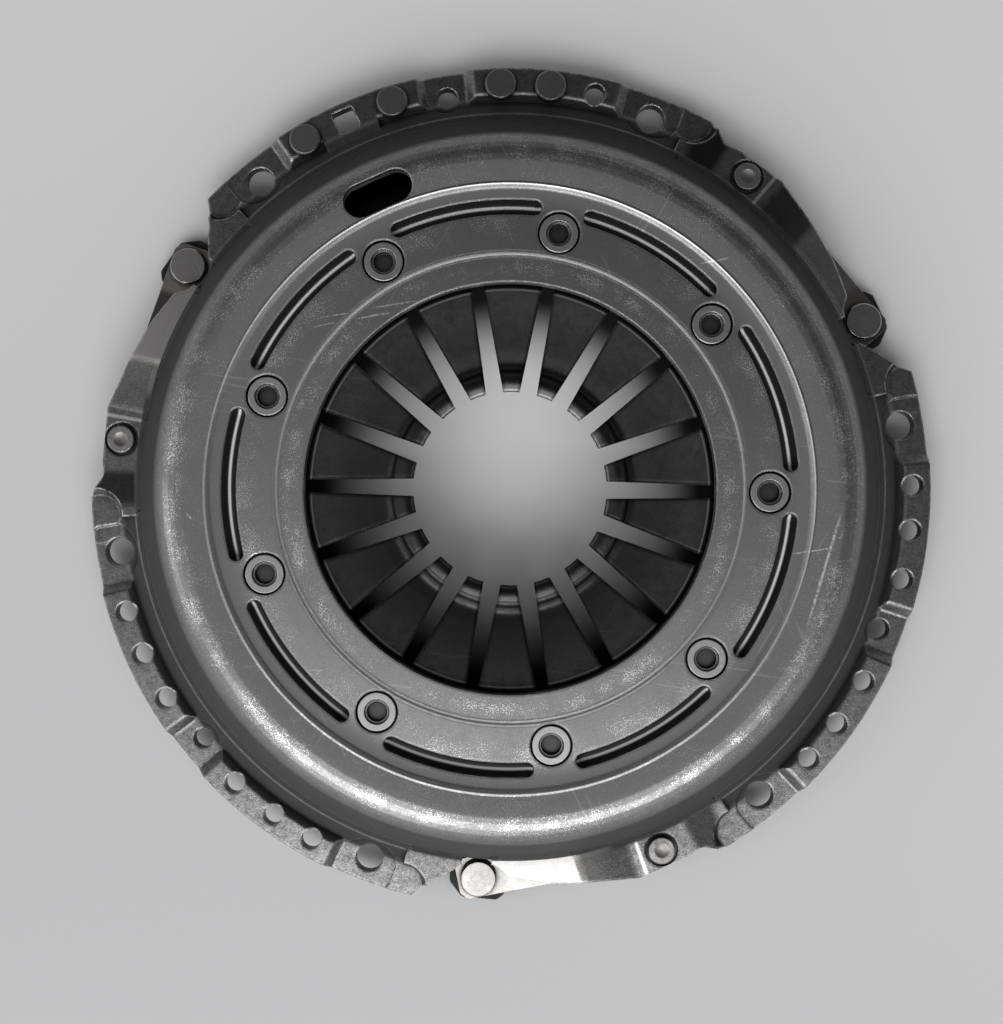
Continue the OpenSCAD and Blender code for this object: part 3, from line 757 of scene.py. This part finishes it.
# %% The slight slopes of the crown, as relief
# Each is (where it starts, where it stops, how far it rises), all in millimetres.
SLOPES = (
    (LIP_R - 0.95, LIP_R + 0.95, -0.86),
    (RIDGE_R + 0.5, RIDGE_R + 1.3, -0.20),
    (BEAD_R - 2, SHOULDER_R + 1, 2.4),
)


def crown_slopes(tree, look):
    for start, stop, rise in SLOPES:
        raise_up(tree, look, radius_between(tree, look, start, stop, 0.0, rise))


print("slopes", len(SLOPES))


# %% The cover's material
def cover_marks(tree, look):
    flange, lands, arms = flange_masks(tree, look)
    wall_shade_and_dull_skin(tree, look)
    coined_skin(tree, look, flange, arms)
    arm_tone_and_painted_light(tree, look, lands, arms)
    wear_belts_and_highlight_rings(tree, look)
    single_scratches(tree, look)
    groove_shade_and_highlight(tree, look)
    crown_slopes(tree, look)


cover_metal = worn_metal_and_painted_light(
    "cover_metal", grey(0.18), grey(0.30), (0.30, 0.42), cover_marks, specular=0.0,
    mottle_size=420.0, mottle=0.2, grain=0.5, bump=0.012, edge=0.1, edge_width=0.0010, hollow=0.7)

# %% [markdown]
# ## Spring
# The spring keeps its dark heat-treatment skin with mottled clouds. The fingers are
# painted darker towards their tips as shade, with a painted highlight near their
# outer end, painted shadow under the cover's edge and rims painted dark as shade. The
# crowned tips themselves are polished by the release bearing, with a painted highlight
# along each tip's end and a painted shade line behind each. A gentle slope in the
# relief makes the fingers shade as if they were a little steeper.

# %% The spring's material
TIP_R = 35.2
TIP_END_R = 29.2
FINGER_SLOPE = 4.6


def spring_marks_and_painted_light(tree, look):
    # Painted shade: the fingers grow darker towards their tips.
    paint(tree, look, radius_between(tree, look, OPENING_R - 1, 44), grey(0.018), 0.5)
    tip = radius_between(tree, look, TIP_R, TIP_R - 0.8)
    paint(tree, look, tip, grey(0.06), 0.85)
    smooth_down(tree, look, tip, 0.10)
    # A painted highlight along each tip's end, and a painted shade line behind each tip.
    paint(tree, look, ring_at(tree, look, TIP_END_R + 0.6, 0.5), grey(0.4), 0.5)
    paint(tree, look, ring_at(tree, look, TIP_R + 0.4, 0.9), grey(0.006), 0.9)
    # A painted highlight near the fingers' outer end, and painted shadow under the cover's edge.
    paint(tree, look, ring_at(tree, look, OPENING_R - 1.6, 0.4), grey(0.5), 0.4)
    paint(tree, look, radius_between(tree, look, OPENING_R - 1.3, OPENING_R - 0.8), grey(0.004), 0.95)
    raise_up(tree, look, radius_between(tree, look, 34, 64, 0.0, FINGER_SLOPE, curve="LINEAR"))


# The fingers' rims are painted dark as shade.
spring_metal = worn_metal_and_painted_light(
    "spring_metal", grey(0.028, 0.02), grey(0.10, 0.02), (0.27, 0.42), spring_marks_and_painted_light, cloud_size=130.0,
    mottle_size=380.0, mottle=0.35, scratches=0.2, edge=0.0, edge_width=0.0018, rim=0.97)

# %% [markdown]
# ## Iron, straps and rivets
# The cast plate and its lugs are black with dull grain. The straps are polished
# spring steel and mirror the room. The spacer rivets have a satin ring round a
# recess that is painted dark as shade, which their height alone tells apart. The heads
# that hold the straps to the cover are duller than those on the lugs. Each is the same
# recipe with numbers of its own, so they look like pieces of one assembly.


# %% Painted shade in the spacer rivets' recess
def recess_shade(tree, look):
    recess = level_between(tree, look, CROWN_Z - 0.5, CROWN_Z - 1.2)
    paint(tree, look, recess, grey(0.03, 0.04), 0.88)


print("recess marks ready")


# %% The other finishes
iron_skin = worn_metal_and_painted_light(
    "iron_skin", grey(0.008), grey(0.018), (0.45, 0.6), metallic=0.0, specular=0.3, cloud_size=160.0,
    scratches=0.1, bump=0.05, edge=0.08)
strap_metal = worn_metal_and_painted_light(
    "strap_metal", grey(0.26, 0.03), grey(0.34, 0.04), (0.12, 0.20), cloud_size=90.0, bump=0.003,
    edge=0.2, edge_width=0.0002)
rivet_metal = worn_metal_and_painted_light(
    "rivet_metal", grey(0.30), grey(0.42), (0.30, 0.42), recess_shade, cloud_size=150.0, scratches=0.2,
    bump=0.010, edge_width=0.0003)
bright_rivet = worn_metal_and_painted_light(
    "bright_rivet", grey(0.28, 0.02), grey(0.38, 0.02), (0.20, 0.30), cloud_size=150.0, bump=0.006,
    edge_width=0.0003)
seat_metal = worn_metal_and_painted_light(
    "seat_metal", grey(0.14, 0.02), grey(0.30, 0.02), (0.36, 0.50), cloud_size=300.0, edge=0.15,
    edge_width=0.0003)
weight_metal = worn_metal_and_painted_light(
    "weight_metal", grey(0.12), grey(0.20), (0.34, 0.48), cloud_size=150.0, scratches=0.2, bump=0.012,
    edge_width=0.0003)

# %% Give every node its finish
FINISHES = (
    ("cover", cover_metal),
    ("pressure_plate", iron_skin),
    ("diaphragm_spring", spring_metal),
    ("fulcrum_ring", spring_metal),
    ("spacer_rivet", rivet_metal),
    ("strap_cover_rivet", seat_metal),
    ("strap_lug_rivet", bright_rivet),
    ("strap_", strap_metal),
    ("balance_rivet", weight_metal),
)


def finish_for(name):
    return next(material for start, material in FINISHES if name.startswith(start))


for name, node in nodes.items():
    for entry in node.material_slots:
        entry.material = finish_for(name)
print("dressed", len(nodes), "nodes")

# %% [markdown]
# ## Parts that flex
# The diaphragm spring flattens and the straps bend when the plate moves, which no
# rigid node can do. Each is shown by a copy of its mesh that stands in for the hidden
# node. The spring's copy hangs on the cover group with a mesh of its own, and each
# strap leaf's copy has its place baked into its mesh. Bones could bend them, but each
# of these parts moves in one simple way only.


# %% A copy that stands for a node
def stand_in(name, label):
    piece = bpy.data.objects.new(label, nodes[name].data.copy())
    bpy.context.scene.collection.objects.link(piece)
    piece.data.materials.clear()
    piece.data.materials.append(finish_for(name))
    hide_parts(name)
    return piece


print("copies can stand in for nodes")


# %% The spring
spring = stand_in("diaphragm_spring", "spring_flexing")
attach(spring, "cover_group")
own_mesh(spring)

# %% The strap leaves
CLAMPED = 0.22


def rivet_point(name):
    a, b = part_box(name)
    return (a + b) / 2


for i in (1, 2, 3):
    fixed = rivet_point(f"strap_cover_rivet_{i}")
    along = rivet_point(f"strap_lug_rivet_{i}") - fixed
    along.z = 0
    start = fixed + along * CLAMPED
    for k in (1, 2, 3):
        leaf = stand_in(f"strap_{i}_leaf_{k}", f"leaf_flexing_{i}_{k}")
        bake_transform(leaf)

# %% [markdown]
# ## The floor
# A wide pale sheet under the clutch catches its soft shadow. A plane is enough, as the
# picture shows no back edge that a curved backdrop would hide. It is a little paler
# on the far side, which evens out what the panels give, paler still inside the opening
# as a painted pool of light, and painted dark as shade where little light gets in
# under the flange. Far from the clutch it fades out, so no edge of the sheet shows
# against the room in a low view.

# %% The sheet
FLOOR_Z = -6 * MM
SIDE = 1.2
floor_data = bpy.data.meshes.new("floor")
corners = [(x * SIDE, y * SIDE, FLOOR_Z) for x, y in ((-1, -1), (1, -1), (1, 1), (-1, 1))]
floor_data.from_pydata(corners, [], [(0, 1, 2, 3)])
floor = bpy.data.objects.new("floor", floor_data)
bpy.context.scene.collection.objects.link(floor)
print("floor lies at", FLOOR_Z)

# %% Its tone, from the far side to the near side, and a painted pool of light in the opening
FAR_TONE = (0.76, 0.76, 0.77, 1)
NEAR_TONE = (0.54, 0.543, 0.55, 1)
OPENING_LIGHT_TONE = (0.85, 0.85, 0.86, 1)
paper = bpy.data.materials.new("floor_paper")
paper.use_nodes = True
sheet = paper.node_tree
nearer = vector_calc(sheet, "DOT_PRODUCT", object_place(sheet), near_side)
from_axis = place_group(sheet, "round_axis")["Radius"]
paper_tone = blend_colour(sheet, between(sheet, nearer, -0.2, 0.25), FAR_TONE, NEAR_TONE)
# A painted pool of light on the floor inside the opening.
inside = between(sheet, from_axis, 52 * MM, 38 * MM)
paper_tone = blend_colour(sheet, inside, paper_tone, OPENING_LIGHT_TONE)
print("floor tones", FAR_TONE[0], "far and", NEAR_TONE[0], "near")

# %% Its shade under the clutch
SHADE = (0.01, 0.01, 0.01, 1)
shade = between(sheet, openness(sheet, 0.016), 0.75, 0.2, 0.0, 0.35)
covered = span(sheet, from_axis, 48 * MM, 63 * MM, 119 * MM, 127 * MM)
shade = calc(sheet, "MAXIMUM", shade, times(sheet, covered, 0.97))
paper_tone = blend_colour(sheet, shade, paper_tone, SHADE)
print("floor is darkest from 63 to 119 mm off the axis")

# %% Join the floor's material
FADE = (1.1, 0.35)
paper_shader = sheet.nodes["Principled BSDF"]
sheet.links.new(paper_tone, paper_shader.inputs["Base Color"])
sheet.links.new(between(sheet, from_axis, *FADE), paper_shader.inputs["Alpha"])
paper_shader.inputs["Roughness"].default_value = 0.8
paper_shader.inputs["Specular IOR Level"].default_value = 0.15
floor_data.materials.append(paper)
print("floor fades out at", FADE[0], "m")
